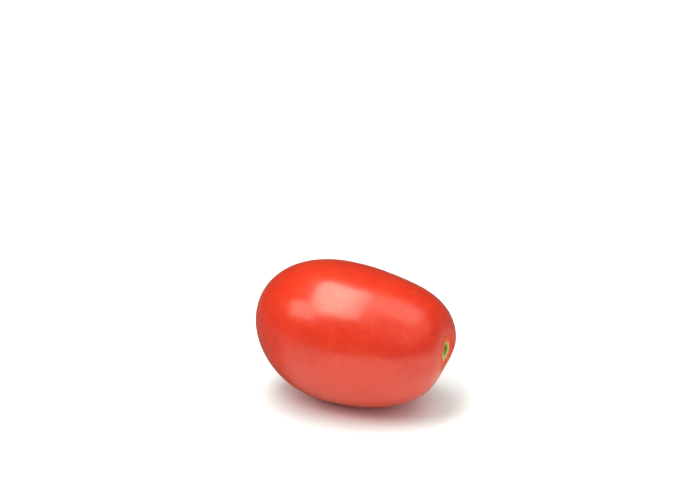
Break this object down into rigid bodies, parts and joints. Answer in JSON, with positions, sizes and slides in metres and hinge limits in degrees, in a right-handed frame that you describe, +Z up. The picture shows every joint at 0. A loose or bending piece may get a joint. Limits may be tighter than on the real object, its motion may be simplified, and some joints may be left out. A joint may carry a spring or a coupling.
{
  "type": "plum tomato",
  "caption": "Whole ripe plum tomato lying on its side on a small flat spot, with a corky stem scar in a shallow bowl at one end and a blossom tip at the other.",
  "frame": {"origin": "bottom centre of the bounding box, level with the flat spot that the fruit rests on", "axes": "+Z up; +X level, from the blossom end towards the stem end"},
  "size_m": [0.0664, 0.0478, 0.0471],
  "materials": {
    "skin": "smooth waxy red tomato skin with a soft gloss, green and tan cork on the stem scar"
  },
  "bodies": {
    "root": {"tomato": "skin"}
  },
  "joints": []
}
